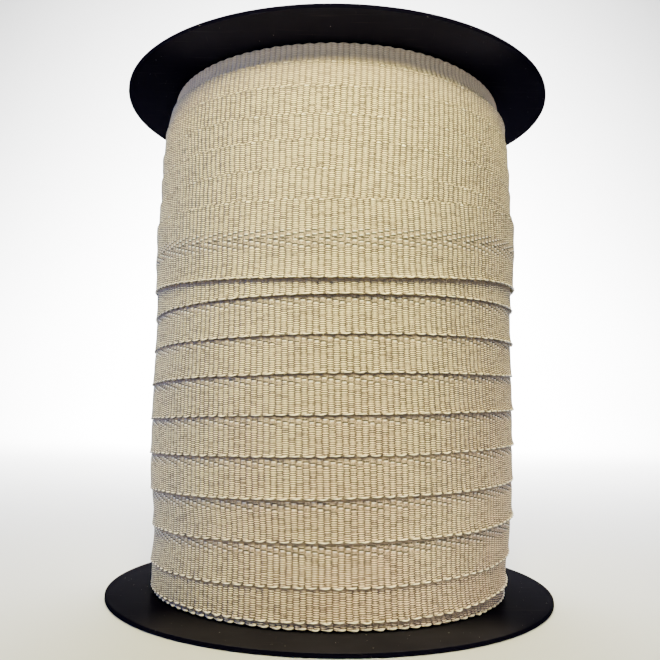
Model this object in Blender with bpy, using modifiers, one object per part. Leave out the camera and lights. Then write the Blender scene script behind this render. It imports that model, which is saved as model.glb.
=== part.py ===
# Roll of binding tape: a black plastic reel wound with cream ribbed tape.
# Metres, +Z up. The origin is the middle of the reel's underside.

import math

import bmesh
import bpy
import numpy as np

# Driving dimensions of the reel
FLANGE_RADIUS = 0.0625
FLANGE_THICKNESS = 0.0012
FLANGE_EDGE_ROUND = 0.0003
WINDING_HEIGHT = 0.1404        # between the inner faces of the two flanges
BORE_RADIUS = 0.0125           # hidden in the photo, sized for a 25 mm spindle
BARREL_RADIUS = 0.0150
FIT_GAP = 0.0003
RING_STEPS = 96

# Driving dimensions of the tape
TAPE_WIDTH = 0.0190
TAPE_STEP = 0.00050            # how far an edge stands above the turn under it
LEDGE_GROWTH = 0.3             # a ledge's height over its distance from the line that it meets
TAPE_END_CLEAR = 0.0009        # the winding stops short of the upper flange
WINDING_STEPS = 90

REEL_HEIGHT = WINDING_HEIGHT + 2 * FLANGE_THICKNESS
MIDDLE = REEL_HEIGHT / 2
MM = 0.001

# Outer radius of the winding against height above the reel's middle
WINDING_PROFILE = {
    "height_mm": (-70, -62, -57, -52, -48, -44, -40, -30, -20, -10, 0, 8, 12, 20,
                  31, 35, 40, 50, 56, 60, 64, 70),
    "radius_mm": (49.6, 50.5, 50.4, 50.7, 51.0, 51.4, 51.7, 51.9, 52.0, 51.9, 51.7, 51.8, 52.1, 52.5,
                  52.5, 52.3, 52.0, 51.7, 51.2, 50.8, 50.2, 48.6),
}

# Height of each turn's lower edge at the front, in the layer that climbs
RISING_EDGES_MM = (-88.0, -76.8, -67.9, -60.4, -50.3, -40.6, -31.1, -21.7, -12.3, -3.1, 6.2, 15.6, 25.0)

# Height of each turn's upper edge at the front, in the layer that comes down over it
FALLING_EDGES_MM = (84.5, 77.5, 70.5, 63.7, 57.4, 50.0, 43.5, 36.1, 28.9)

# Upper edge of the last turn, and how far it stands proud, against the angle round from the front
LAST_TURN = {
    "angle_deg": (-180, -130, -76, 0, 76, 130, 180),
    "upper_edge_mm": (32.5, 31.9, 31.0, 28.9, 33.3, 33.2, 32.5),
    "proud_mm": (0.1, 0.0, 0.0, 0.1, 0.6, 0.4, 0.1),
}

# Where the lowest turns are pressed in on the left and stand loose on the right
LOOSE_TURNS = {"height_mm": -56.0, "reach_mm": 9.0, "depth_mm": 0.5}


def clear_scene():
    for obj in list(bpy.data.objects):
        bpy.data.objects.remove(obj, do_unlink=True)


def make_material(name, colour, roughness):
    material = bpy.data.materials.new(name)
    material.use_nodes = True
    shader = material.node_tree.nodes["Principled BSDF"]
    shader.inputs["Base Color"].default_value = (*colour, 1.0)
    shader.inputs["Roughness"].default_value = roughness
    return material


def add_object(name, mesh, collection, material):
    obj = bpy.data.objects.new(name, mesh)
    obj.data.materials.append(material)
    collection.objects.link(obj)
    return obj


def turned_ring(name, profile, collection, material):
    # A closed section at +X, turned once about the Z axis
    mesh = bpy.data.meshes.new(name)
    count = len(profile)
    points = [(radius, 0.0, height) for radius, height in profile]
    edges = [(i, (i + 1) % count) for i in range(count)]
    mesh.from_pydata(points, edges, [])
    ring = add_object(name, mesh, collection, material)
    turn = ring.modifiers.new("turn", "SCREW")
    turn.axis = "Z"
    turn.angle = math.tau
    turn.steps = RING_STEPS
    turn.render_steps = RING_STEPS
    turn.use_merge_vertices = True
    turn.merge_threshold = 0.00001
    turn.use_smooth_shade = False
    return ring


def flange_section(low):
    # Flat ring with its outer edges rounded off, from its top to its underside
    high = low + FLANGE_THICKNESS
    inner = BARREL_RADIUS + FIT_GAP
    edge = FLANGE_EDGE_ROUND
    return (
        (inner, high),
        (FLANGE_RADIUS - edge, high),
        (FLANGE_RADIUS, high - edge),
        (FLANGE_RADIUS, low + edge),
        (FLANGE_RADIUS - edge, low),
        (inner, low),
    )


def barrel_section():
    # Plain tube, as long as the reel is high
    return (
        (BORE_RADIUS, REEL_HEIGHT),
        (BARREL_RADIUS, REEL_HEIGHT),
        (BARREL_RADIUS, 0.0),
        (BORE_RADIUS, 0.0),
    )


def smooth_table(position, places, values):
    # Catmull-Rom curve through a table: it passes through each value without a kink
    places = np.asarray(places, dtype=float)
    values = np.asarray(values, dtype=float)
    slopes = np.gradient(values, places)
    index = np.clip(np.searchsorted(places, position) - 1, 0, len(places) - 2)
    width = places[index + 1] - places[index]
    part = np.clip((position - places[index]) / width, 0.0, 1.0)
    start = (1 + 2 * part) * (1 - part) ** 2 * values[index]
    start_slope = part * (1 - part) ** 2 * width * slopes[index]
    end = part ** 2 * (3 - 2 * part) * values[index + 1]
    end_slope = part ** 2 * (part - 1) * width * slopes[index + 1]
    return start + start_slope + end + end_slope


def winding_radius(height_mm, angle):
    # Barrel shape of the whole winding, pressed in and loose at its lowest turns
    radius = smooth_table(height_mm, WINDING_PROFILE["height_mm"], WINDING_PROFILE["radius_mm"])
    away = (height_mm - LOOSE_TURNS["height_mm"]) / LOOSE_TURNS["reach_mm"]
    return radius + LOOSE_TURNS["depth_mm"] * np.sin(angle) * np.exp(-away ** 2)


def edge_line(edges_mm, turn, angle):
    # Height of one turn's edge: the spiral passes the front once for each table value
    return smooth_table(turn + angle / math.tau, range(len(edges_mm)), edges_mm)


def ledge(distance_mm):
    # Height of a ledge, which dies away where its line runs into another line
    return np.clip(LEDGE_GROWTH * distance_mm, 0.0, TAPE_STEP / MM)


def winding_rows(angle):
    # Lines round the winding from its foot to its top, as pairs of height and radius in mm.
    # Each edge is a ledge of two lines, one on the turn beneath and one on the turn above.
    foot = np.full_like(angle, (FIT_GAP - WINDING_HEIGHT / 2) / MM)
    top = np.full_like(angle, (WINDING_HEIGHT / 2 - TAPE_END_CLEAR) / MM)
    step = TAPE_STEP / MM
    last_upper = smooth_table(np.degrees(angle), LAST_TURN["angle_deg"], LAST_TURN["upper_edge_mm"])
    proud = smooth_table(np.degrees(angle), LAST_TURN["angle_deg"], LAST_TURN["proud_mm"])
    last_lower = last_upper - TAPE_WIDTH / MM
    low = winding_radius(last_lower, angle)
    high = winding_radius(last_upper, angle)
    middle = (last_lower + last_upper) / 2
    rows = [(foot, winding_radius(foot, angle))]
    for turn in range(1, len(RISING_EDGES_MM) - 1):
        height = np.clip(edge_line(RISING_EDGES_MM, turn, angle), foot, last_lower)
        risen = ledge(last_lower - height)
        outer = winding_radius(height, angle) - step + risen
        rows += [(height, outer - np.minimum(risen, ledge(height - foot))), (height, outer)]
    rows += [(last_lower, low - step), (last_lower, low + proud)]
    rows += [(middle, winding_radius(middle, angle) + proud)]
    rows += [(last_upper, high + proud), (last_upper, high - step)]
    for turn in range(len(FALLING_EDGES_MM) - 2, 0, -1):
        height = np.clip(edge_line(FALLING_EDGES_MM, turn, angle), last_upper, top)
        risen = ledge(height - last_upper)
        outer = winding_radius(height, angle) - step + risen
        rows += [(height, outer), (height, outer - np.minimum(risen, ledge(top - height)))]
    rows += [(top, winding_radius(top, angle))]
    return rows


def tape_winding(name, collection, material):
    # Ring lofted between the lines of the winding, closed by its two ends and its core hole.
    # The spiral lines run on at the back, where one turn's line meets the next turn's.
    angle = np.linspace(-math.pi, math.pi, WINDING_STEPS + 1)
    rows = winding_rows(angle)
    core = np.full_like(angle, (BARREL_RADIUS + FIT_GAP) / MM)
    rows = [(rows[0][0], core)] + rows + [(rows[-1][0], core)]
    mesh = bmesh.new()
    lines = []
    for height, radius in rows:
        x = radius * np.sin(angle) * MM
        y = -radius * np.cos(angle) * MM
        z = height * MM + MIDDLE
        lines.append([mesh.verts.new(point) for point in zip(x, y, z)])
    for lower, upper in zip(lines, lines[1:] + lines[:1]):
        for i in range(WINDING_STEPS):
            mesh.faces.new((lower[i], lower[i + 1], upper[i + 1], upper[i]))
    bmesh.ops.remove_doubles(mesh, verts=mesh.verts, dist=0.00002)
    bmesh.ops.dissolve_degenerate(mesh, edges=mesh.edges, dist=0.00001)
    bmesh.ops.recalc_face_normals(mesh, faces=mesh.faces)
    data = bpy.data.meshes.new(name)
    mesh.to_mesh(data)
    mesh.free()
    return add_object(name, data, collection, material)


def main():
    clear_scene()
    collection = bpy.data.collections.new("roll_of_binding_tape")
    bpy.context.scene.collection.children.link(collection)
    plastic = make_material("black_plastic", (0.012, 0.012, 0.014), 0.28)
    cloth = make_material("cream_tape", (0.62, 0.55, 0.44), 0.85)
    turned_ring("flange_bottom", flange_section(0.0), collection, plastic)
    turned_ring("flange_top", flange_section(REEL_HEIGHT - FLANGE_THICKNESS), collection, plastic)
    turned_ring("barrel", barrel_section(), collection, plastic)
    tape_winding("tape_roll", collection, cloth)


main()
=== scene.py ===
import math
import bpy
import numpy as np
from mathutils import Matrix, Vector


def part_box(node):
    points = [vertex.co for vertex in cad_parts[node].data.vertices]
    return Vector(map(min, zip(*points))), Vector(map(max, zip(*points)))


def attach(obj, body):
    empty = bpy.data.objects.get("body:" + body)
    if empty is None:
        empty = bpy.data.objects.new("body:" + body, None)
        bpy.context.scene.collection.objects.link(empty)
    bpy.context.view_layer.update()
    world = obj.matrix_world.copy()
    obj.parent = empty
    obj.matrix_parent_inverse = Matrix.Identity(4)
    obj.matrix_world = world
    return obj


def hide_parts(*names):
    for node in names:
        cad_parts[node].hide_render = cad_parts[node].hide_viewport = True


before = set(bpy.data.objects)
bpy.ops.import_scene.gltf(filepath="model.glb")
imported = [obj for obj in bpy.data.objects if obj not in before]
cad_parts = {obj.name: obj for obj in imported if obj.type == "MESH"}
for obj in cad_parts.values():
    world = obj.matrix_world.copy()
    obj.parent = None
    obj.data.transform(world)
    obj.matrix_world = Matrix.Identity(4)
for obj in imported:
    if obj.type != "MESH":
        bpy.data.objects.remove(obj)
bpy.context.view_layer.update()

# Roll of binding tape on a black reel: the reel, the hidden winding and each turn that shows
mm = 0.001
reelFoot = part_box("flange_bottom")[0].z / mm
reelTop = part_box("flange_top")[1].z / mm
middle = (reelFoot + reelTop) / 2       # heights in the tables below are counted from here, in mm


# Camera, light and floor

view = {
    "lens": 39.98, "sensor": 36,            # from the photo's perspective
    "x": -0.97, "y": -219.7, "z": -20.47,   # mm, z from the reel's middle
    "pitch": 6.234, "roll": 0.94,           # degrees up, degrees to the left
}


def makeCamera():
    # Stands in front, a little under the reel's middle, and looks slightly up
    data = bpy.data.cameras.new("camera")
    data.lens = view["lens"]
    data.sensor_width = view["sensor"]
    data.clip_start = 0.01
    data.clip_end = 20
    camera = bpy.data.objects.new("camera", data)
    camera.location = (view["x"] * mm, view["y"] * mm, (middle + view["z"]) * mm)
    pitch = Matrix.Rotation(math.radians(90 + view["pitch"]), 4, "X")
    roll = Matrix.Rotation(math.radians(view["roll"]), 4, "Z")
    camera.rotation_euler = (pitch @ roll).to_euler("XYZ")
    bpy.context.scene.collection.objects.link(camera)
    bpy.context.scene.camera = camera


lights = {
    # place in m, place that it faces in m, width in m, spread in degrees, power in W, colour
    "key": ((0.004, -0.24, 0.230), (0.0, -0.052, 0.106), 0.07, 90, 0.425, (1.0, 0.93, 0.43)),
    "high": ((0.0, -0.19, 0.27), (0.0, -0.052, 0.09), 0.09, 90, 0.155, (1.0, 0.93, 0.50)),
    "foot": ((0.06, -0.30, 0.05), (0.026, -0.047, 0.008), 0.05, 20, 0.006, (1.0, 0.95, 0.90)),
    "fill": ((-0.13, -0.90, 0.06), (0.0, 0.0, 0.09), 0.50, 40, 0.55, (0.65, 0.78, 1.0)),
    "leftRim": ((-0.55, -0.05, 0.14), (0.0, 0.0, 0.10), 0.45, 50, 0.42, (0.12, 0.25, 1.0)),
    "rightRim": ((0.50, 0.06, 0.14), (0.0, 0.0, 0.07), 0.45, 50, 0.15, (0.48, 0.57, 1.0)),
    "rear": ((0.0, 0.75, 1.1), (0.0, 0.75, 0.0), 0.9, 60, 34.0, (1.0, 1.0, 1.0)),
    "wall": ((0.0, 0.60, 1.2), (0.0, 1.9, 0.5), 1.0, 120, 330.0, (1.0, 1.0, 1.0)),
}
sky = {"colour": (0.74, 0.83, 1.0), "strength": 0.06}


def makeLights():
    for name, (place, target, width, spread, power, colour) in lights.items():
        data = bpy.data.lights.new(name, "AREA")
        data.shape = "DISK"
        data.size = width
        data.spread = math.radians(spread)
        data.energy = power
        data.color = colour
        lamp = bpy.data.objects.new(name, data)
        lamp.location = place
        lamp.rotation_euler = (Vector(target) - Vector(place)).to_track_quat("-Z", "Y").to_euler()
        bpy.context.scene.collection.objects.link(lamp)
    world = bpy.data.worlds.new("studio")
    world.use_nodes = True
    background = world.node_tree.nodes["Background"]
    background.inputs["Color"].default_value = (*sky["colour"], 1)
    background.inputs["Strength"].default_value = sky["strength"]
    bpy.context.scene.world = world


# Mesh and node helpers

def newObject(name, vertices, faces, material):
    # One smooth mesh: vertices in mm, faces as lists of corner numbers
    mesh = bpy.data.meshes.new(name)
    mesh.from_pydata((np.asarray(vertices).reshape(-1, 3) * mm).tolist(), [], faces)
    mesh.materials.append(material)
    mesh.polygons.foreach_set("use_smooth", np.full(len(mesh.polygons), True))
    mesh.update()
    piece = bpy.data.objects.new(name, mesh)
    bpy.context.scene.collection.objects.link(piece)
    return piece


def gridFaces(along, across, closeAlong=False, closeAcross=False):
    # Four-cornered faces of a grid whose points are numbered across first, then along
    i = np.arange(along if closeAlong else along - 1)
    j = np.arange(across if closeAcross else across - 1)
    i, j = np.meshgrid(i, j, indexing="ij")
    nextI = (i + 1) % along
    nextJ = (j + 1) % across
    corners = (i * across + j, nextI * across + j, nextI * across + nextJ, i * across + nextJ)
    return np.stack(corners, -1).reshape(-1, 4).tolist()


def tubeFaces(along, around):
    # Grid closed around, with a face over each end
    last = (along - 1) * around
    ends = [list(range(around))[::-1], list(range(last, last + around))]
    return gridFaces(along, around, closeAcross=True) + ends


def setUv(piece, name, u, v):
    # A named map: u and v hold one value for each vertex, and each corner takes its vertex's
    layer = piece.data.uv_layers.new(name=name)
    corner = np.empty(len(piece.data.loops), dtype=np.int32)
    piece.data.loops.foreach_get("vertex_index", corner)
    places = np.stack((u.ravel()[corner], v.ravel()[corner]), -1)
    layer.data.foreach_set("uv", places.astype(np.float32).ravel())


def toPoints(angle, radius, height):
    # Angle round from the front, radius and height in mm: (r sin a, -r cos a, middle + h)
    return np.stack((radius * np.sin(angle), -radius * np.cos(angle), height + middle), -1)


def dress(piece, node):
    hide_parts(node)
    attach(piece, "root")


class Nodes:
    # Short way to write a material's maths: each call adds one node and gives its output
    def __init__(self, name):
        self.material = bpy.data.materials.new(name)
        self.material.use_nodes = True
        self.tree = self.material.node_tree
        self.shader = self.tree.nodes["Principled BSDF"]

    def put(self, socket, value):
        if hasattr(value, "is_output"):
            self.tree.links.new(value, socket)
        elif hasattr(value, "__len__") and len(value) == 3 and socket.type == "RGBA":
            socket.default_value = (*value, 1)
        else:
            socket.default_value = value

    def add(self, kind, *values, output=0, **settings):
        node = self.tree.nodes.new(kind)
        for key, value in settings.items():
            setattr(node, key, value)
        for socket, value in zip(node.inputs, values):
            self.put(socket, value)
        return node.outputs[output]

    def maths(self, operation, *values):
        return self.add("ShaderNodeMath", *values, operation=operation)

    def ramp(self, value, low, high, outLow=0.0, outHigh=1.0):
        # Smooth step from outLow to outHigh while value goes from low to high
        kind = "SMOOTHSTEP"
        return self.add("ShaderNodeMapRange", value, low, high, outLow, outHigh, interpolation_type=kind)

    def mix(self, share, first, second):
        node = self.tree.nodes.new("ShaderNodeMix")
        node.data_type = "RGBA"
        self.put(node.inputs["Factor"], share)
        self.put(node.inputs[6], first)
        self.put(node.inputs[7], second)
        return node.outputs[2]

    def tint(self, colour, glass):
        # Colour seen through a coloured glass: the two multiplied
        node = self.tree.nodes.new("ShaderNodeMix")
        node.data_type = "RGBA"
        node.blend_type = "MULTIPLY"
        self.put(node.inputs["Factor"], 1.0)
        self.put(node.inputs[6], colour)
        self.put(node.inputs[7], glass)
        return node.outputs[2]

    def noise(self, place, scale, detail=2.0, rough=0.5):
        node = self.tree.nodes.new("ShaderNodeTexNoise")
        self.put(node.inputs["Vector"], place)
        self.put(node.inputs["Scale"], scale)
        self.put(node.inputs["Detail"], detail)
        self.put(node.inputs["Roughness"], rough)
        return node.outputs["Fac"]

    def chance(self, x, y=0.0):
        # Even random number for each whole x, y
        place = self.add("ShaderNodeCombineXYZ", x, y)
        return self.add("ShaderNodeTexWhiteNoise", place, noise_dimensions="2D")

    def stretched(self, place, scale, turn):
        # Noise drawn out along one direction, for scratches
        node = self.tree.nodes.new("ShaderNodeMapping")
        node.inputs["Scale"].default_value = scale
        node.inputs["Rotation"].default_value = (0.0, 0.0, turn)
        self.tree.links.new(place, node.inputs["Vector"])
        return self.noise(node.outputs[0], 1.0, 3.0, 0.6)

    def object(self):
        return self.add("ShaderNodeTexCoord", output=3)

    def map(self, name):
        # Both values of a piece's own map
        return self.split(self.add("ShaderNodeUVMap", uv_map=name))[:2]

    def split(self, vector):
        node = self.tree.nodes.new("ShaderNodeSeparateXYZ")
        self.tree.links.new(vector, node.inputs[0])
        return node.outputs

    def bump(self, height, distance):
        node = self.tree.nodes.new("ShaderNodeBump")
        node.inputs["Distance"].default_value = distance
        self.tree.links.new(height, node.inputs["Height"])
        self.tree.links.new(node.outputs[0], self.shader.inputs["Normal"])


# Tape cloth

cloth = {
    # Plain weave, in mm, or in shares of a rib or of a row
    "rowPitch": 0.50,                           # between the short floats in one rib
    "wander": 0.30, "drift": 0.6,               # how far a rib's rows are shifted by chance and slowly
    "floatWide": 1.66, "floatHigh": 3.10,       # how fast a float thins out sideways, and up and down
    "floatVary": 1.20, "floatLeast": 0.58,      # tone of the floats: its spread, and the deepest one
    "furrow": 0.05,                             # tone between the floats
    "dotShare": 0.40, "dotDark": 0.75,          # dark dots at the ends of some floats
    # Herringbone line along the middle, in mm
    "stripeHalf": 2.35, "stripeFirst": 0.14, "stripeRow": 0.33,     # half width, first row, row spacing
    "repeat": 4,                                # ribs in one repeat
    # Edges, in mm from the middle line
    "loopsFrom": 8.80, "loopsFull": 9.00,       # lower edge, where its loops stand up
    "edgeLine": 8.80, "edgeRow": 9.15,          # upper edge: a thin dark line and a row of long floats
    "rim": 9.42,                                # where the painted shade on the underside of the edge starts
    # Colours
    "gap": (0.036, 0.028, 0.023),               # dots and grooves, and painted shade beside the long floats and on the underside of the edge
    "deep": (0.056, 0.042, 0.031),              # between the floats
    "body": (0.470, 0.350, 0.190),
    "bright": (1.0, 0.820, 0.400),              # crowns of the short floats
    "long": (1.0, 0.940, 0.700),                # long floats
    "paintedEdgeShadow": (0.172, 0.118, 0.076), "paintedEdgeShadowShare": 0.92,     # painted shadow just below an edge that lies over it
    "paintedFlangeShade": (0.52, 0.38, 0.24),                # painted shade under the upper flange
    # Unevenness: size of the noise for each metre, and how much it shifts the tone
    "fuzz": 7000.0, "fuzzTone": 0.45,
    "grain": 2700.0, "grainTone": 1.30,
    "large": 38.0, "largeTone": 0.12, "ribTone": 0.04,
    "bumpHeight": 0.00010,
    "roughness": 0.62, "floatRoughness": 0.20, "specular": 0.62, "specularTint": (1.0, 0.94, 0.78),
}
# Painted light tint on the lowest turns, in patches, from z in mm: greyer painted shade on the left, pinkish
# painted light on the right
paintedFootTint = {
    "top": 100.0, "full": 8.0, "patches": 60.0,         # patches for each metre
    "left": (0.80, 0.81, 0.97), "right": (0.94, 0.83, 0.97),
}
# Painted shade round both sides of the roll, darker and cooler, from x in mm, fading out towards the top, z
# in mm
paintedSideShade = {
    "from": 18.0, "full": 43.0, "zFrom": 130.0, "zFull": 100.0,
    "left": (0.84, 0.88, 0.99), "right": (0.81, 0.80, 0.87),
}
# Soft shade near the upper flange and full shade right under it, z in mm
topShade = {"softFrom": 125.0, "softFull": 135.0, "soft": 0.40, "from": 135.2, "full": 136.8}


def plainWeave(n, ribNumber, sideways, across, slow):
    # Short floats, each an ellipse: root of (sideways a)^2 + (inRow b)^2. The next rib's are
    # shifted by half a row. Gives their tone, and the dark dots at some of their ends.
    m = n.maths
    drift = m("MULTIPLY", slow, cloth["drift"])
    wander = m("MULTIPLY_ADD", n.chance(ribNumber, 3.0), cloth["wander"], drift)
    shift = m("MULTIPLY", m("MODULO", ribNumber, 2.0), 0.5)
    place = m("ADD", m("ADD", m("DIVIDE", across, cloth["rowPitch"]), shift), wander)
    row = m("FLOOR", place)
    inRow = m("SUBTRACT", m("SUBTRACT", place, row), 0.5)
    own = m("MULTIPLY_ADD", n.chance(ribNumber, row), cloth["floatVary"], cloth["floatLeast"])
    beside = m("MULTIPLY", sideways, cloth["floatWide"])
    above = m("MULTIPLY", inRow, cloth["floatHigh"])
    lens = m("SQRT", m("ADD", m("MULTIPLY", beside, beside), m("MULTIPLY", above, above)))
    tone = m("ADD", m("MULTIPLY", own, n.ramp(lens, 1.05, 0.35)), cloth["furrow"])
    dots = m("MULTIPLY", n.ramp(sideways, 0.34, 0.46), n.ramp(m("ABSOLUTE", inRow), 0.10, 0.34))
    some = m("GREATER_THAN", n.chance(ribNumber, m("ADD", row, 57.0)), 1 - cloth["dotShare"])
    return tone, m("MULTIPLY", dots, some)


def middleLine(n, ribs, ribNumber, inRib, across, out, crown):
    # Herringbone: each rib lets one float in four run long, one row further out at each rib.
    # Gives the long floats, the painted shadow at their side, the dark along the middle, and the rows
    # between.
    m = n.maths
    sideways = m("ABSOLUTE", inRib)
    upper = m("GREATER_THAN", across, 0.0)
    place = m("DIVIDE", m("SUBTRACT", out, cloth["stripeFirst"]), cloth["stripeRow"])
    row = m("FLOOR", place)
    inRow = m("ABSOLUTE", m("SUBTRACT", m("SUBTRACT", place, row), 0.5))
    phase = m("FLOORED_MODULO", m("SUBTRACT", m("SUBTRACT", ribNumber, row), upper), cloth["repeat"])
    own = n.ramp(n.chance(ribNumber, m("MULTIPLY_ADD", upper, 40.0, row)), -0.1, 0.6, 0.50, 1.25)
    floats = m("MULTIPLY", n.ramp(sideways, 0.34, 0.14), n.ramp(inRow, 0.52, 0.24))
    floats = m("MULTIPLY", m("MULTIPLY", m("LESS_THAN", phase, 0.5), floats), own)
    # Painted shadow beside each long float, on the rib after it
    shade = m("MULTIPLY", m("COMPARE", phase, 1.0, 0.4), n.ramp(inRow, 0.62, 0.25))
    shade = m("MULTIPLY", m("MULTIPLY", shade, n.ramp(inRib, 0.50, 0.20)), 1.2)
    pair = m("ABSOLUTE", m("SUBTRACT", m("FRACT", m("MULTIPLY", ribs, 0.5)), 0.5))
    groove = m("MULTIPLY", n.ramp(out, 0.20, 0.08), n.ramp(pair, 0.36, 0.28))
    rows = m("MULTIPLY", crown, m("MULTIPLY_ADD", n.ramp(inRow, 0.46, 0.12), 0.50, 0.04))
    rows = m("ADD", rows, m("SUBTRACT", 0.22, m("MULTIPLY", crown, 0.14)))
    return floats, shade, groove, rows


def tapeEdges(n, ribs, ribNumber, sideways, across, slow):
    # Lower edge: a cosine loop for each two ribs. Upper edge: long floats in one rib of four,
    # and a thin dark line. Gives the loops, the floats and the line.
    m = n.maths
    loops = m("COSINE", m("MULTIPLY", m("ADD", ribs, m("MULTIPLY", slow, 0.8)), math.pi))
    atLoops = n.ramp(across, -cloth["loopsFrom"], -cloth["loopsFull"])
    loops = m("MULTIPLY", atLoops, n.ramp(loops, -0.5, 0.7, -0.50, 0.30))
    fourth = m("LESS_THAN", m("FLOORED_MODULO", ribNumber, cloth["repeat"]), 0.5)
    off = m("ABSOLUTE", m("SUBTRACT", across, cloth["edgeRow"]))
    floats = m("MULTIPLY", m("MULTIPLY", fourth, n.ramp(off, 0.24, 0.08)), n.ramp(sideways, 0.42, 0.20))
    floats = m("MULTIPLY", floats, n.ramp(n.chance(ribNumber, 90.0), 0.0, 1.0, 0.2, 0.75))
    line = n.ramp(m("ABSOLUTE", m("SUBTRACT", across, cloth["edgeLine"])), 0.14, 0.05)
    return loops, floats, m("MULTIPLY", line, 0.42)


def unevenTone(n, tone, fuzz, ribNumber):
    # The weave's tone plus each noise about its mean
    m = n.maths
    noises = (
        (n.noise(n.object(), cloth["large"], 2.0), cloth["largeTone"]),
        (n.chance(ribNumber, 11.0), cloth["ribTone"]),
        (fuzz, cloth["fuzzTone"]),
        (n.noise(n.object(), cloth["grain"], 2.0, 0.6), cloth["grainTone"]),
    )
    for noise, size in noises:
        tone = m("ADD", tone, m("MULTIPLY", m("SUBTRACT", noise, 0.5), size))
    return tone


def paintedTintsAndShade(n, colour):
    # Painted light tint towards the foot in patches, painted shade round both sides, painted soft shade near
    # the top
    m = n.maths
    x, _, z = n.split(n.object())
    # Painted light tint: greyer shade on the left, pinkish light on the right, strongest at the foot, in
    # patches
    footTintShare = n.ramp(z, paintedFootTint["top"] * mm, paintedFootTint["full"] * mm)
    footTintColour = n.mix(n.ramp(x, -0.042, -0.010), paintedFootTint["left"], paintedFootTint["right"])
    patchy = n.ramp(n.noise(n.object(), paintedFootTint["patches"], 3.0), 0.30, 0.65, 0.35, 1.0)
    colour = n.mix(m("MULTIPLY", footTintShare, patchy), colour, n.tint(colour, footTintColour))
    # Painted shade: darker and cooler round both sides of the roll, fading out towards the top
    beside = n.ramp(m("ABSOLUTE", x), paintedSideShade["from"] * mm, paintedSideShade["full"] * mm)
    beside = m("MULTIPLY", beside, n.ramp(z, paintedSideShade["zFrom"] * mm, paintedSideShade["zFull"] * mm))
    glass = n.mix(n.ramp(x, -0.01, 0.01), paintedSideShade["left"], paintedSideShade["right"])
    colour = n.mix(beside, colour, n.tint(colour, glass))
    # Painted soft shade near the upper flange
    soft = n.ramp(z, topShade["softFrom"] * mm, topShade["softFull"] * mm)
    return n.mix(m("MULTIPLY", soft, topShade["soft"]), colour, cloth["paintedFlangeShade"])


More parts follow.
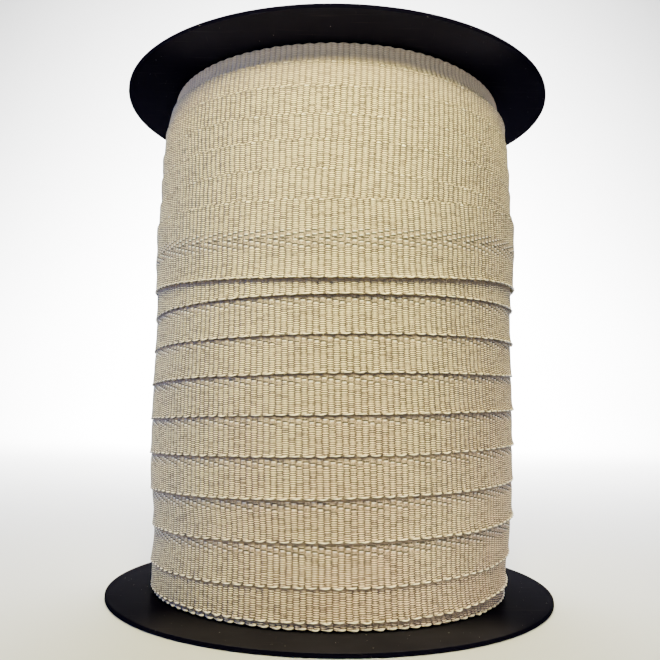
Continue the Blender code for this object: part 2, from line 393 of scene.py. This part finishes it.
def clothMaterial():
    # Tone: the plain weave, with the middle line mixed in and the edges added. Colour: from the
    # tone through deep, body and bright, then painted tints and shade, dark gaps with painted
    # shade, and painted shadows below edges.
    n = Nodes("creamTape")
    m = n.maths
    ribs, across = n.map("weave")
    out = m("ABSOLUTE", across)
    ribNumber = m("FLOOR", ribs)
    inRib = m("SUBTRACT", m("SUBTRACT", ribs, ribNumber), 0.5)
    sideways = m("ABSOLUTE", inRib)
    crown = n.ramp(sideways, 0.54, 0.18)
    slow = n.add("ShaderNodeCombineXYZ", m("MULTIPLY", ribNumber, 7.3), m("MULTIPLY", across, 0.35))
    slow = n.noise(slow, 1.0)
    plain, dots = plainWeave(n, ribNumber, sideways, across, slow)
    long, shade, groove, rows = middleLine(n, ribs, ribNumber, inRib, across, out, crown)
    loops, edgeFloats, edgeLine = tapeEdges(n, ribs, ribNumber, sideways, across, slow)

    inStripe = n.ramp(out, cloth["stripeHalf"] + 0.25, cloth["stripeHalf"] - 0.55)
    weave = m("ADD", m("MULTIPLY_ADD", inStripe, m("SUBTRACT", rows, plain), plain), loops)
    long = m("ADD", m("MULTIPLY", long, inStripe), edgeFloats)
    # Dark: painted shadow beside the long floats, with the grooves, the edge line and the dots
    dark = m("ADD", m("MULTIPLY", shade, inStripe), m("ADD", groove, edgeLine))
    dotDark = m("MULTIPLY_ADD", inStripe, -cloth["dotDark"], cloth["dotDark"])
    dark = m("ADD", dark, m("MULTIPLY", dots, dotDark))

    fuzz = n.noise(n.object(), cloth["fuzz"], 2.0, 0.6)
    pale = m("MINIMUM", long, 1.0)
    tone = unevenTone(n, m("ADD", weave, pale), fuzz, ribNumber)
    low = n.mix(n.ramp(tone, 0.04, 0.60), cloth["deep"], cloth["body"])
    colour = n.mix(n.ramp(tone, 0.45, 1.05), low, cloth["bright"])
    colour = paintedTintsAndShade(n, n.mix(pale, colour, cloth["long"]))
    # Painted shadow right under the upper flange: colour mixed towards the shade colour, less in the
    # furrows, and the dark gaps weaker there
    under = n.ramp(n.split(n.object())[2], topShade["from"] * mm, topShade["full"] * mm)
    colour = n.mix(m("MULTIPLY", under, m("MULTIPLY_ADD", crown, 0.40, 0.30)), colour, cloth["paintedFlangeShade"])
    # Dark gaps, plus painted shade on the underside of the lower edge
    gapsAndPaintedShade = m("MINIMUM", m("ADD", dark, m("LESS_THAN", across, -cloth["rim"])), 1.0)
    gapsAndPaintedShade = m("MULTIPLY", gapsAndPaintedShade, m("SUBTRACT", 1.0, m("MULTIPLY", under, 0.7)))
    colour = n.mix(gapsAndPaintedShade, colour, cloth["gap"])
    below, _ = n.map("cover")       # 0 at the edge that lies over it, 1 at the end of its painted shadow strip
    # Painted shadow: colour darkened in a strip just below each edge that lies over this turn
    paintedEdgeShadow = m("MULTIPLY", n.ramp(below, 1.05, 0.55), n.ramp(below, -0.6, -0.4))
    paintedEdgeShadow = m("MULTIPLY", paintedEdgeShadow, cloth["paintedEdgeShadowShare"])
    n.put(n.shader.inputs["Base Color"], n.mix(paintedEdgeShadow, colour, cloth["paintedEdgeShadow"]))
    rough = n.ramp(pale, 0.1, 0.7, cloth["roughness"], cloth["floatRoughness"])
    n.put(n.shader.inputs["Roughness"], rough)
    n.shader.inputs["Specular IOR Level"].default_value = cloth["specular"]
    n.shader.inputs["Specular Tint"].default_value = (*cloth["specularTint"], 1)

    height = m("ADD", m("MULTIPLY", weave, 0.65), m("MULTIPLY", long, 0.90))
    height = m("ADD", height, m("COSINE", m("MULTIPLY", inRib, math.pi)))
    height = m("SUBTRACT", height, m("MULTIPLY", dark, 0.55))
    n.bump(m("ADD", height, m("MULTIPLY", fuzz, 0.25)), cloth["bumpHeight"])
    return n.material


yarn = {
    # pale and shaded: painted light on each loop and painted shade between; under: painted shade on the
    # thread's underside
    "pale": (0.99, 0.88, 0.60), "shaded": (0.40, 0.30, 0.17), "under": (0.07, 0.056, 0.046),
    "loopLag": 0.6,             # radians that the painted light on a loop comes after its widest place
    "roughness": 0.36, "specular": 0.30, "bumpHeight": 0.00005,
}


def yarnMaterial():
    # Spun edge yarn: paler and deeper patches from two noises; painted light on each loop and painted
    # shade between, by a cosine of the map's first value; painted shade underneath by its second
    n = Nodes("edgeYarn")
    grain = n.noise(n.object(), 2600.0, 3.0, 0.6)
    large = n.noise(n.object(), 500.0, 1.0)
    along, upward = n.map("weave")
    share = n.maths("MULTIPLY_ADD", large, 0.6, n.maths("MULTIPLY", grain, 0.7))
    loop = n.maths("COSINE", n.maths("MULTIPLY_ADD", along, math.tau, -yarn["loopLag"]))
    share = n.maths("MULTIPLY", share, n.ramp(loop, -0.2, 0.7, 0.0, 1.3))
    lit = n.mix(share, yarn["shaded"], yarn["pale"])
    # Painted shade on the thread's underside
    n.put(n.shader.inputs["Base Color"], n.mix(n.ramp(upward, 0.45, -0.30), lit, yarn["under"]))
    n.shader.inputs["Roughness"].default_value = yarn["roughness"]
    n.shader.inputs["Specular IOR Level"].default_value = yarn["specular"]
    n.bump(grain, yarn["bumpHeight"])
    return n.material


hidden = {"light": (0.56, 0.44, 0.26), "dark": (0.24, 0.18, 0.11), "roughness": 0.85, "bumpHeight": 0.0001}


def hiddenMaterial():
    # Pressed edges of the hidden turns: rings a tape's thickness apart, from a sine of the radius
    n = Nodes("hiddenWinding")
    x, y, _ = n.split(n.object())
    reach = n.maths("SQRT", n.maths("ADD", n.maths("MULTIPLY", x, x), n.maths("MULTIPLY", y, y)))
    rings = n.maths("SINE", n.maths("MULTIPLY", reach, math.tau / (tape["thick"] * mm)))
    grain = n.noise(n.object(), 1200.0, 3.0)
    share = n.maths("MULTIPLY_ADD", rings, 0.25, n.maths("MULTIPLY", grain, 0.8))
    n.put(n.shader.inputs["Base Color"], n.mix(share, hidden["dark"], hidden["light"]))
    n.shader.inputs["Roughness"].default_value = hidden["roughness"]
    n.bump(share, hidden["bumpHeight"])
    return n.material


# The winding

tape = {
    "width": 19.0, "thick": 0.50, "meanRadius": 51.7,
    "ribsPerTurn": 212.25,      # a quarter over a whole number, so that two turns' ribs don't line up
    "pointsPerRib": 4,
    "ribRelief": 0.115,         # mm that a rib stands above its mean height
    "bridge": 1.1,              # mm over which a turn rounds off the step of the turn beneath
    "edgeRound": 0.28,          # mm, radius of both edges
    "strip": 0.66, "lastStrip": 0.98, "flareStrip": 1.3,    # mm, how wide the painted shadow below a free edge is
    "scallop": 0.13,            # mm that the edge goes in and out, once for each two ribs
    "endAngle": 168.0,          # degrees round from the front, where the last turn is cut
}
# Outline of the whole winding
profile = {
    "height": (-70, -62, -57, -52, -48, -44, -40, -30, -20, -10, 0, 8,
               12, 20, 31, 35, 40, 50, 56, 60, 63, 66, 70),
    "radius": (49.6, 50.5, 50.4, 50.7, 51.0, 51.4, 51.7, 51.9, 52.0, 51.9, 51.7, 51.8,
               52.1, 52.6, 52.7, 52.3, 52.0, 51.7, 51.2, 50.8, 50.3, 48.7, 48.3),
}
# Lower edges of the turns that climb, at the front, one for each time round
risingEdges = (-69.6, -69.6, -67.9, -60.4, -50.3, -40.6, -31.1, -21.7, -12.3, -3.1, 6.2, 15.6, 25.0)
# Upper edges of the turns that come down over them
fallingEdges = (69.3, 69.3, 69.3, 63.7, 57.4, 50.0, 43.5, 36.1, 28.9)
# Upper edge of the turn that lies over all, against degrees round from the front
lastTurn = {
    "angle": (-180, -130, -76, 0, 76, 130, 180),
    "upperEdge": (32.5, 31.9, 31.0, 28.9, 33.3, 33.2, 32.5),
}
uneven = {
    "path": 0.10,               # mm that a turn strays up and down
    "lift": 0.42, "lastLift": 0.80,     # mm that a free edge stands off
    "liftMore": 0.14, "liftReach": 0.7,         # mm of unevenness, and mm of width that it takes up
    "fallingShare": 0.4,        # of the lift, at the edges that come down
    "holdReach": 1.5,           # mm beside the last turn over which it holds an edge down
    "liftAngle": (-180, -110, -65, -20, 180), "liftShare": (1.0, 0.12, 0.20, 1.0, 1.0),
    "waves": (1.37, 2.21, 3.73, 6.31, 9.17, 14.3),      # waves for each time round
}
# On the right the lowest edge but one rises away and stands off: place in turns along the spiral
footGap = {"count": 2.18, "reach": 0.07, "rise": 1.0}
flare = {"count": 2.13, "reach": 0.08, "size": 0.75, "inward": 2.2}
# The lowest turns are pressed in on the left and loose on the right
loose = {"height": -51.0, "reach": 9.0, "depth": 0.5}
# Soft dents, placed by degrees round from the front and by height
dents = (
    {"angle": -64.0, "height": -57.0, "wide": 11.0, "high": 4.0, "depth": 0.7},
    {"angle": 80.0, "height": -67.0, "wide": 26.0, "high": 8.0, "depth": 0.9},
    {"angle": 25.0, "height": -69.0, "wide": 16.0, "high": 5.0, "depth": -0.35},
)

columns = int(round(tape["ribsPerTurn"] * tape["pointsPerRib"]))
turnAngle = np.linspace(-math.pi, math.pi, columns + 1)
halfWidth = tape["width"] / 2
sampleStep = 0.1
sampleAcross = np.arange(-halfWidth, halfWidth + sampleStep / 2, sampleStep)
heightGrid = np.arange(-70.2, 70.2 + sampleStep / 2, sampleStep)


def smoothTable(position, places, values):
    # Curve through a table without a kink: cubic between places, slopes from the neighbours
    places = np.asarray(places, dtype=float)
    values = np.asarray(values, dtype=float)
    slopes = np.gradient(values, places)
    index = np.clip(np.searchsorted(places, position) - 1, 0, len(places) - 2)
    width = places[index + 1] - places[index]
    part = np.clip((position - places[index]) / width, 0.0, 1.0)
    start = (1 + 2 * part) * (1 - part) ** 2 * values[index] + part * (1 - part) ** 2 * width * slopes[index]
    end = part ** 2 * (3 - 2 * part) * values[index + 1] + part ** 2 * (part - 1) * width * slopes[index + 1]
    return start + end


def stray(turns, seed):
    # Sum of sines along the whole spiral, so that it runs on from turn to turn
    own = np.random.default_rng(seed)
    total = np.zeros_like(turns)
    for wave in uneven["waves"]:
        total += own.normal() / wave ** 0.5 * np.sin(math.tau * wave * turns + own.uniform(0, math.tau))
    return total


def turnPaths():
    # Each turn: its kind, its count along the spiral and its middle line as height round the roll.
    # Lower edges climb, then upper edges come down over them.
    found = []
    for turn in range(1, len(risingEdges) - 1):
        count = turn + turnAngle / math.tau
        edge = smoothTable(count, range(len(risingEdges)), risingEdges) + uneven["path"] * stray(count, 5)
        edge += footGap["rise"] * np.exp(-((count - footGap["count"]) / footGap["reach"]) ** 2)
        found.append(("rising", count, np.maximum(edge, risingEdges[0]) + halfWidth))
    for turn in range(2, len(fallingEdges) - 1):
        count = turn + turnAngle / math.tau
        edge = smoothTable(count, range(len(fallingEdges)), fallingEdges) + uneven["path"] * stray(count, 6)
        found.append(("falling", count + 20, np.minimum(edge, fallingEdges[0]) - halfWidth))
    count = turnAngle / math.tau
    edge = smoothTable(np.degrees(turnAngle), lastTurn["angle"], lastTurn["upperEdge"])
    found.append(("last", count + 40, edge + uneven["path"] * stray(count, 7) - halfWidth))
    return found


def bridgeWeights():
    # Row-normalised bell weights: how a turn's stiffness averages what lies under it
    gap = sampleAcross[:, None] - sampleAcross[None, :]
    weights = np.exp(-0.5 * (gap / tape["bridge"]) ** 2)
    return weights / weights.sum(axis=1, keepdims=True)


def sampleRows(table, position):
    # Value of each row of table at its own fractional column numbers
    position = np.clip(position, 0, table.shape[1] - 1.001)
    index = position.astype(int)
    part = position - index
    low = np.take_along_axis(table, index, 1)
    high = np.take_along_axis(table, index + 1, 1)
    return low + (high - low) * part


def layTurns(found, ground):
    # Lay each turn on what is there: its surface is the bridged ground plus its thickness
    weights = bridgeWeights()
    surfaces = []
    bare = ground.copy()
    for kind, _, path in found:
        spots = (path[:, None] + sampleAcross[None, :] - heightGrid[0]) / sampleStep
        under = sampleRows(ground, spots)
        surface = np.maximum(under @ weights.T + tape["thick"], under + 0.3 * tape["thick"])
        surfaces.append(surface)
        spots = (heightGrid[None, :] - path[:, None] + halfWidth) / sampleStep
        inside = (spots >= 0) & (spots <= len(sampleAcross) - 1)
        if kind == "last":
            inside &= (np.degrees(turnAngle) <= tape["endAngle"])[:, None]
        ground = np.where(inside, sampleRows(surface, spots), ground)
    return surfaces, ground - bare


def groundRadius(found):
    # The hidden winding: the measured outline less what the shown turns add to it
    flat = np.zeros((columns + 1, len(heightGrid)))
    stacked = layTurns(found, flat)[1].mean(axis=0)
    side = 60
    window = np.exp(-0.5 * (np.arange(-side, side + 1) * sampleStep / 2.2) ** 2)
    stacked = np.convolve(np.pad(stacked, side, mode="edge"), window / window.sum(), mode="valid")
    outline = smoothTable(heightGrid, profile["height"], profile["radius"]) - stacked
    away = np.exp(-((heightGrid - loose["height"]) / loose["reach"]) ** 2)
    radius = outline[None, :] + loose["depth"] * np.sin(turnAngle)[:, None] * away[None, :]
    for dent in dents:
        sideways = (np.degrees(turnAngle) - dent["angle"]) / dent["wide"]
        upward = (heightGrid - dent["height"]) / dent["high"]
        radius = radius - dent["depth"] * np.exp(-sideways[:, None] ** 2 - upward[None, :] ** 2)
    return radius


def nearFlare(count):
    # 1 where the lowest edge but one stands off, falling away along the spiral as a bell
    return np.exp(-((count - flare["count"]) / flare["reach"]) ** 2)


def liftEdge(kind, count, free, surface):
    # A free edge stands off: lift times a fall away from the edge, more and less along the tape,
    # and none where the last turn holds it down
    inward = halfWidth - sampleAcross if kind == "falling" else halfWidth + sampleAcross
    least = uneven["lastLift"] if kind == "last" else uneven["lift"]
    size = np.clip(least + uneven["liftMore"] * stray(count, 8), 0.03, None)
    if kind == "falling":
        size = size * uneven["fallingShare"]
    size = size * np.interp(np.degrees(turnAngle), uneven["liftAngle"], uneven["liftShare"])
    clear = np.clip(free / uneven["holdReach"], 0, 1)
    raised = surface + (size * clear)[:, None] * np.exp(-inward / uneven["liftReach"])[None, :]
    if kind == "rising":
        near = nearFlare(count) * clear
        raised += flare["size"] * near[:, None] * np.exp(-inward / flare["inward"])[None, :]
    return raised


def acrossRows(kind):
    # Places across the tape: close together where the turn shows, wide apart where it is covered
    edge = [0.0, 0.07, 0.2, 0.45, 0.9]
    if kind == "last":
        shown = np.arange(-halfWidth + 1.8, halfWidth - 1.7, 0.9)
        return np.concatenate((-halfWidth + np.array(edge), shown, (halfWidth - np.array(edge))[::-1]))
    shown = np.arange(1.8, 11.0, 1.0)
    covered = [13.0, 16.0, 18.6, 19.0]
    rows = np.concatenate((edge, shown, covered)) - halfWidth
    return rows if kind == "rising" else -rows[::-1]


def turnPiece(number, kind, path, surface, over, material):
    # Closed strip: radius = laid surface + cosine ribs, less the rounding of both edges,
    # and the same surface less the tape's thickness behind. Map weave: ribs along, mm across.
    # Map cover: how far below the edge that lies over it, in widths of that edge's painted shadow strip.
    across = acrossRows(kind)
    length = columns + 1
    if kind == "last":
        length = int(np.searchsorted(np.degrees(turnAngle), tape["endAngle"]))
    angle = turnAngle[:length, None]
    path = path[:length, None]
    ribs = (np.arange(length) / tape["pointsPerRib"] + number * tape["ribsPerTurn"])[:, None]
    lean = np.gradient(path[:, 0], angle[:, 0])[:, None] / tape["meanRadius"] ** 2
    inward = halfWidth - np.abs(across)
    off = 1 - np.clip(inward / tape["edgeRound"], 0, 1)
    rounding = 1 - np.sqrt(1 - off ** 2)
    relief = tape["ribRelief"] * np.cos(math.tau * (ribs - 0.5)) * np.clip(inward / 0.4, 0, 1)
    outer = sampleRows(surface[:length], np.tile((across + halfWidth) / sampleStep, (length, 1)))
    outer = outer + relief - tape["thick"] * 0.9 * rounding
    place = across + tape["scallop"] * np.cos(math.pi * ribs) * (inward < 0.3) * np.sign(across)
    face = toPoints(angle - lean * across, outer, path + place)
    behind = np.array([halfWidth - 0.15, halfWidth - 1.2, 0.0, 1.2 - halfWidth, 0.15 - halfWidth])
    inner = sampleRows(surface[:length], np.tile((behind + halfWidth) / sampleStep, (length, 1)))
    inner = inner - tape["thick"]
    back = toPoints(angle - lean * behind, inner, path + behind)
    points = np.concatenate((face, back), axis=1)
    piece = newObject(f"{kind}Turn{number:02d}", points, tubeFaces(length, points.shape[1]), material)
    across = np.tile(np.concatenate((across, behind)), (length, 1))
    setUv(piece, "weave", np.tile(ribs, (1, across.shape[1])), across)
    places = path + across
    below = np.min([(edge[:length, None] - places) / strip[:length] for edge, strip in over], axis=0)
    setUv(piece, "cover", below, np.zeros_like(below))
    return piece


thread = {
    "radius": 0.19, "plump": 0.55,      # mm, and the share by which it swells on the way out
    "ribsPerLoop": 2, "sides": 5, "perLoop": 8,
    "inset": 0.34, "sway": 0.19, "vary": 0.45,          # mm from the edge, mm out and in, share by chance
    "hook": 0.17, "hookLag": 0.5,       # loops that it runs ahead, and where, in radians
    "sink": 0.05, "bury": 0.26, "dive": 0.10,           # mm into the cloth: always, on the way in, between
}


def edgeThread(number, kind, path, surface, material):
    # Round thread along the lower edge: it swings out and in by a cosine, once for each two
    # ribs, and runs ahead of itself on the way in by a sine, so that each swing ends in a hook.
    # Map weave: loops along, and how far each side of the thread faces up, which places the painted shade
    # underneath.
    limit = math.radians(tape["endAngle"]) if kind == "last" else math.pi
    loopAngle = math.tau / (tape["ribsPerTurn"] / thread["ribsPerLoop"])
    loops = int((limit + math.pi) / loopAngle)
    steps = np.arange(loops * thread["perLoop"] + 1) / thread["perLoop"]
    swing = math.tau * steps + math.pi * number * tape["ribsPerTurn"]
    angle = -math.pi + loopAngle * (steps + thread["hook"] * np.sin(swing + thread["hookLag"]))
    column = (angle + math.pi) / math.tau * columns
    own = np.random.default_rng(400 + number)
    size = 1 + np.interp(steps, np.arange(loops + 1), own.normal(0, thread["vary"], loops + 1))
    across = thread["inset"] - halfWidth - thread["sway"] * size * np.cos(swing)
    nearest = np.clip(np.rint(column).astype(int), 0, columns)
    spot = np.clip(np.rint((across + halfWidth) / sampleStep), 0, None).astype(int)
    deep = thread["sink"] + thread["bury"] * (1 - np.cos(swing)) / 2
    radius = surface[nearest, spot] - deep + thread["dive"] * np.sin(swing)
    centre = toPoints(angle, radius, np.interp(column, np.arange(columns + 1), path) + across)
    ahead = np.gradient(centre, axis=0)
    ahead /= np.linalg.norm(ahead, axis=1, keepdims=True)
    outward = toPoints(angle, np.ones_like(angle), np.full_like(angle, -middle))
    side = np.cross(ahead, outward)
    side /= np.linalg.norm(side, axis=1, keepdims=True)
    upward = np.cross(side, ahead)
    turn = (np.arange(thread["sides"]) / thread["sides"] * math.tau)[None, :, None]
    ring = np.cos(turn) * side[:, None, :] + np.sin(turn) * upward[:, None, :]
    thick = thread["radius"] * (1 + thread["plump"] * np.cos(swing))
    points = centre[:, None, :] + thick[:, None, None] * ring
    piece = newObject(f"edgeThread{number:02d}", points, tubeFaces(len(steps), thread["sides"]), material)
    along = np.tile(swing[:, None] / math.tau, (1, thread["sides"]))
    setUv(piece, "weave", along, ring[:, :, 2])
    return piece


def makeWinding():
    # All shown turns with their threads. Each climbing turn gets the edges of the turns over it.
    found = turnPaths()
    ground = groundRadius(found)
    surfaces = layTurns(found, ground)[0]
    face = clothMaterial()
    edge = yarnMaterial()
    made = []
    last = found[-1][2]
    edges = []
    for kind, count, path in found:
        # Each turn's lower edge, with the width of the painted shadow below it
        strip = tape["lastStrip"] if kind == "last" else tape["strip"]
        edges.append((path - halfWidth, strip + tape["flareStrip"] * nearFlare(count)[:, None]))
    nowhere = (np.full_like(last, 999.0), np.ones((columns + 1, 1)))       # an edge far above
    for number, ((kind, count, path), surface) in enumerate(zip(found, surfaces), start=1):
        free = {"rising": last - path, "falling": path - last, "last": np.full_like(path, 9.0)}[kind]
        surface = liftEdge(kind, count, free, surface)
        over = edges[number:] + [nowhere] if kind == "rising" else [nowhere]
        made.append(turnPiece(number, kind, path, surface, over, face))
        if kind != "falling":
            made.append(edgeThread(number, kind, path, surface, edge))
    for piece in made:
        dress(piece, "tape_roll")
    corners = sum(len(piece.data.loops) - 2 * len(piece.data.polygons) for piece in made)
    print(len(made), "tape pieces,", corners, "triangles")
    return ground


def turnedPiece(name, radius, height, material, steps):
    # Closed section turned about Z: point = (r sin a, -r cos a, z)
    angle = (np.arange(steps) / steps * math.tau)[:, None]
    shape = (steps, len(radius))
    points = toPoints(angle, np.broadcast_to(radius, shape), np.broadcast_to(height, shape) - middle)
    return newObject(name, points, gridFaces(steps, len(radius), True, True), material)


def makeHidden(ground):
    # The winding under the shown turns: ring from the barrel to just under the ground surface
    inside = np.flatnonzero((heightGrid > -69.8) & (heightGrid < 69.25))[::12]
    radius = ground.min(axis=0)[inside] - 0.12
    height = heightGrid[inside] + middle
    inner = plastic["barrelRadius"] + plastic["fit"]
    radius = np.concatenate(([inner], radius, [inner]))
    height = np.concatenate((height[:1], height, height[-1:]))
    piece = turnedPiece("hiddenWinding", radius, height, hiddenMaterial(), 120)
    dress(piece, "tape_roll")


# The reel

plastic = {
    "colour": (0.0016, 0.0013, 0.0040), "worn": (0.060, 0.052, 0.046),
    # film: painted reflection of the winding on the flanges
    "paintedWindingReflection": (0.0190, 0.0170, 0.0230), "speck": (0.30, 0.28, 0.25),
    "roughness": 0.32, "specular": 0.00005, "bumpHeight": 0.00004,
    "flangeThick": 1.2, "edgeRound": 0.32, "flangeRadius": 62.5,
    "barrelRadius": 15.0, "boreRadius": 12.5, "fit": 0.3, "rimCut": 0.35,
}


def plasticMaterial():
    # Dark body with a painted reflection of the winding in front on the faces turned to it; fine
    # scratches from stretched noise, dust from small noise peaks, roughness from both
    n = Nodes("blackPlastic")
    m = n.maths
    place = n.object()
    scratch = n.ramp(n.stretched(place, (60.0, 2200.0, 60.0), 0.45), 0.62, 0.78)
    crossing = n.ramp(n.stretched(place, (1800.0, 70.0, 70.0), -0.25), 0.66, 0.80)
    scratches = m("MAXIMUM", scratch, crossing)
    dust = n.ramp(n.noise(place, 1300.0, 2.0, 0.7), 0.74, 0.80)
    cloudy = n.noise(place, 55.0, 3.0)
    x, y, z = n.split(place)
    onTop = m("COMPARE", z, (reelFoot + plastic["flangeThick"]) * mm, 0.0001)
    underTop = m("COMPARE", z, (reelTop - plastic["flangeThick"]) * mm, 0.0001)
    # Painted reflection of the winding: paler, in front, on the lower flange's top and the upper flange's
    # underside
    inFront = m("MULTIPLY", n.ramp(y, -0.028, -0.050), n.ramp(m("ABSOLUTE", x), 0.050, 0.036))
    paintedWindingReflection = m("MULTIPLY", m("MULTIPLY_ADD", underTop, 0.6, onTop), inFront)
    paintedWindingReflection = m("MULTIPLY", paintedWindingReflection, m("MULTIPLY_ADD", cloudy, 0.8, 0.5))
    body = n.mix(paintedWindingReflection, plastic["colour"], plastic["paintedWindingReflection"])
    body = n.mix(m("MULTIPLY", scratches, 0.25), body, plastic["worn"])
    n.put(n.shader.inputs["Base Color"], n.mix(dust, body, plastic["speck"]))
    rough = m("MULTIPLY_ADD", cloudy, 0.16, plastic["roughness"] - 0.08)
    n.put(n.shader.inputs["Roughness"], m("MULTIPLY_ADD", scratches, 0.12, rough))
    n.shader.inputs["Specular IOR Level"].default_value = plastic["specular"]
    n.bump(m("MULTIPLY_ADD", cloudy, 0.5, m("MULTIPLY", scratches, 0.25)), plastic["bumpHeight"])
    return n.material


def flangeSection(low):
    # Out along the top from the hole, quarter circles round the rim, and back underneath
    edge = plastic["edgeRound"]
    inner = plastic["barrelRadius"] + plastic["fit"]
    outer = plastic["flangeRadius"]
    high = low + plastic["flangeThick"]
    turn = np.linspace(0, math.pi / 2, 5)
    flat = np.linspace(inner + 0.15, outer - edge - 0.4, 8)
    return np.concatenate((
        np.stack((flat, np.full(8, high)), -1),
        np.stack((outer - edge + edge * np.sin(turn), high - edge + edge * np.cos(turn)), -1),
        np.stack((outer - edge + edge * np.cos(turn), low + edge - edge * np.sin(turn)), -1),
        np.stack((flat[::-1], np.full(8, low)), -1),
        [[inner, low + 0.15], [inner, high - 0.15]],
    ))


def barrelSection():
    # Plain tube whose rims are broken by a small flat
    inner = plastic["boreRadius"]
    outer = plastic["barrelRadius"]
    cut = plastic["rimCut"]
    high = reelTop - reelFoot
    return np.array([
        [inner + cut, high], [outer - 0.1, high], [outer, high - 0.1], [outer, 0.1], [outer - 0.1, 0.0],
        [inner + cut, 0.0], [inner, cut], [inner, high - cut],
    ])


def makeReel():
    finish = plasticMaterial()
    parts = {
        "flange_bottom": ("lowerFlange", flangeSection(0.0)),
        "flange_top": ("upperFlange", flangeSection(reelTop - reelFoot - plastic["flangeThick"])),
        "barrel": ("reelBarrel", barrelSection()),
    }
    for node, (name, section) in parts.items():
        piece = turnedPiece(name, section[::-1, 0], section[::-1, 1] + reelFoot, finish, 256)
        dress(piece, node)


floor = {"front": 3.0, "back": 2.6, "wall": 3.0, "bend": 1.8, "side": 4.0, "colour": (0.80, 0.80, 0.80)}


def makeFloor():
    # Flat floor that bends up into a pale wall behind: quarter circle between the two
    turn = np.linspace(0, math.pi / 2, 40)
    bend = floor["bend"]
    y = np.concatenate(([-floor["front"]], floor["back"] - bend + bend * np.sin(turn), [floor["back"]]))
    z = np.concatenate(([0.0], bend - bend * np.cos(turn), [bend + floor["wall"]])) - 0.0001
    x = np.array([-floor["side"], floor["side"]])
    points = np.stack(np.broadcast_arrays(x[None, :], y[:, None], z[:, None]), -1) / mm
    n = Nodes("paleFloor")
    n.shader.inputs["Base Color"].default_value = (*floor["colour"], 1)
    n.shader.inputs["Roughness"].default_value = 0.9
    faces = [face[::-1] for face in gridFaces(len(y), 2)]
    newObject("floor", points, faces, n.material)


print("camera and light")
makeCamera()
makeLights()
makeFloor()
print("reel")
makeReel()
print("winding")
makeHidden(makeWinding())
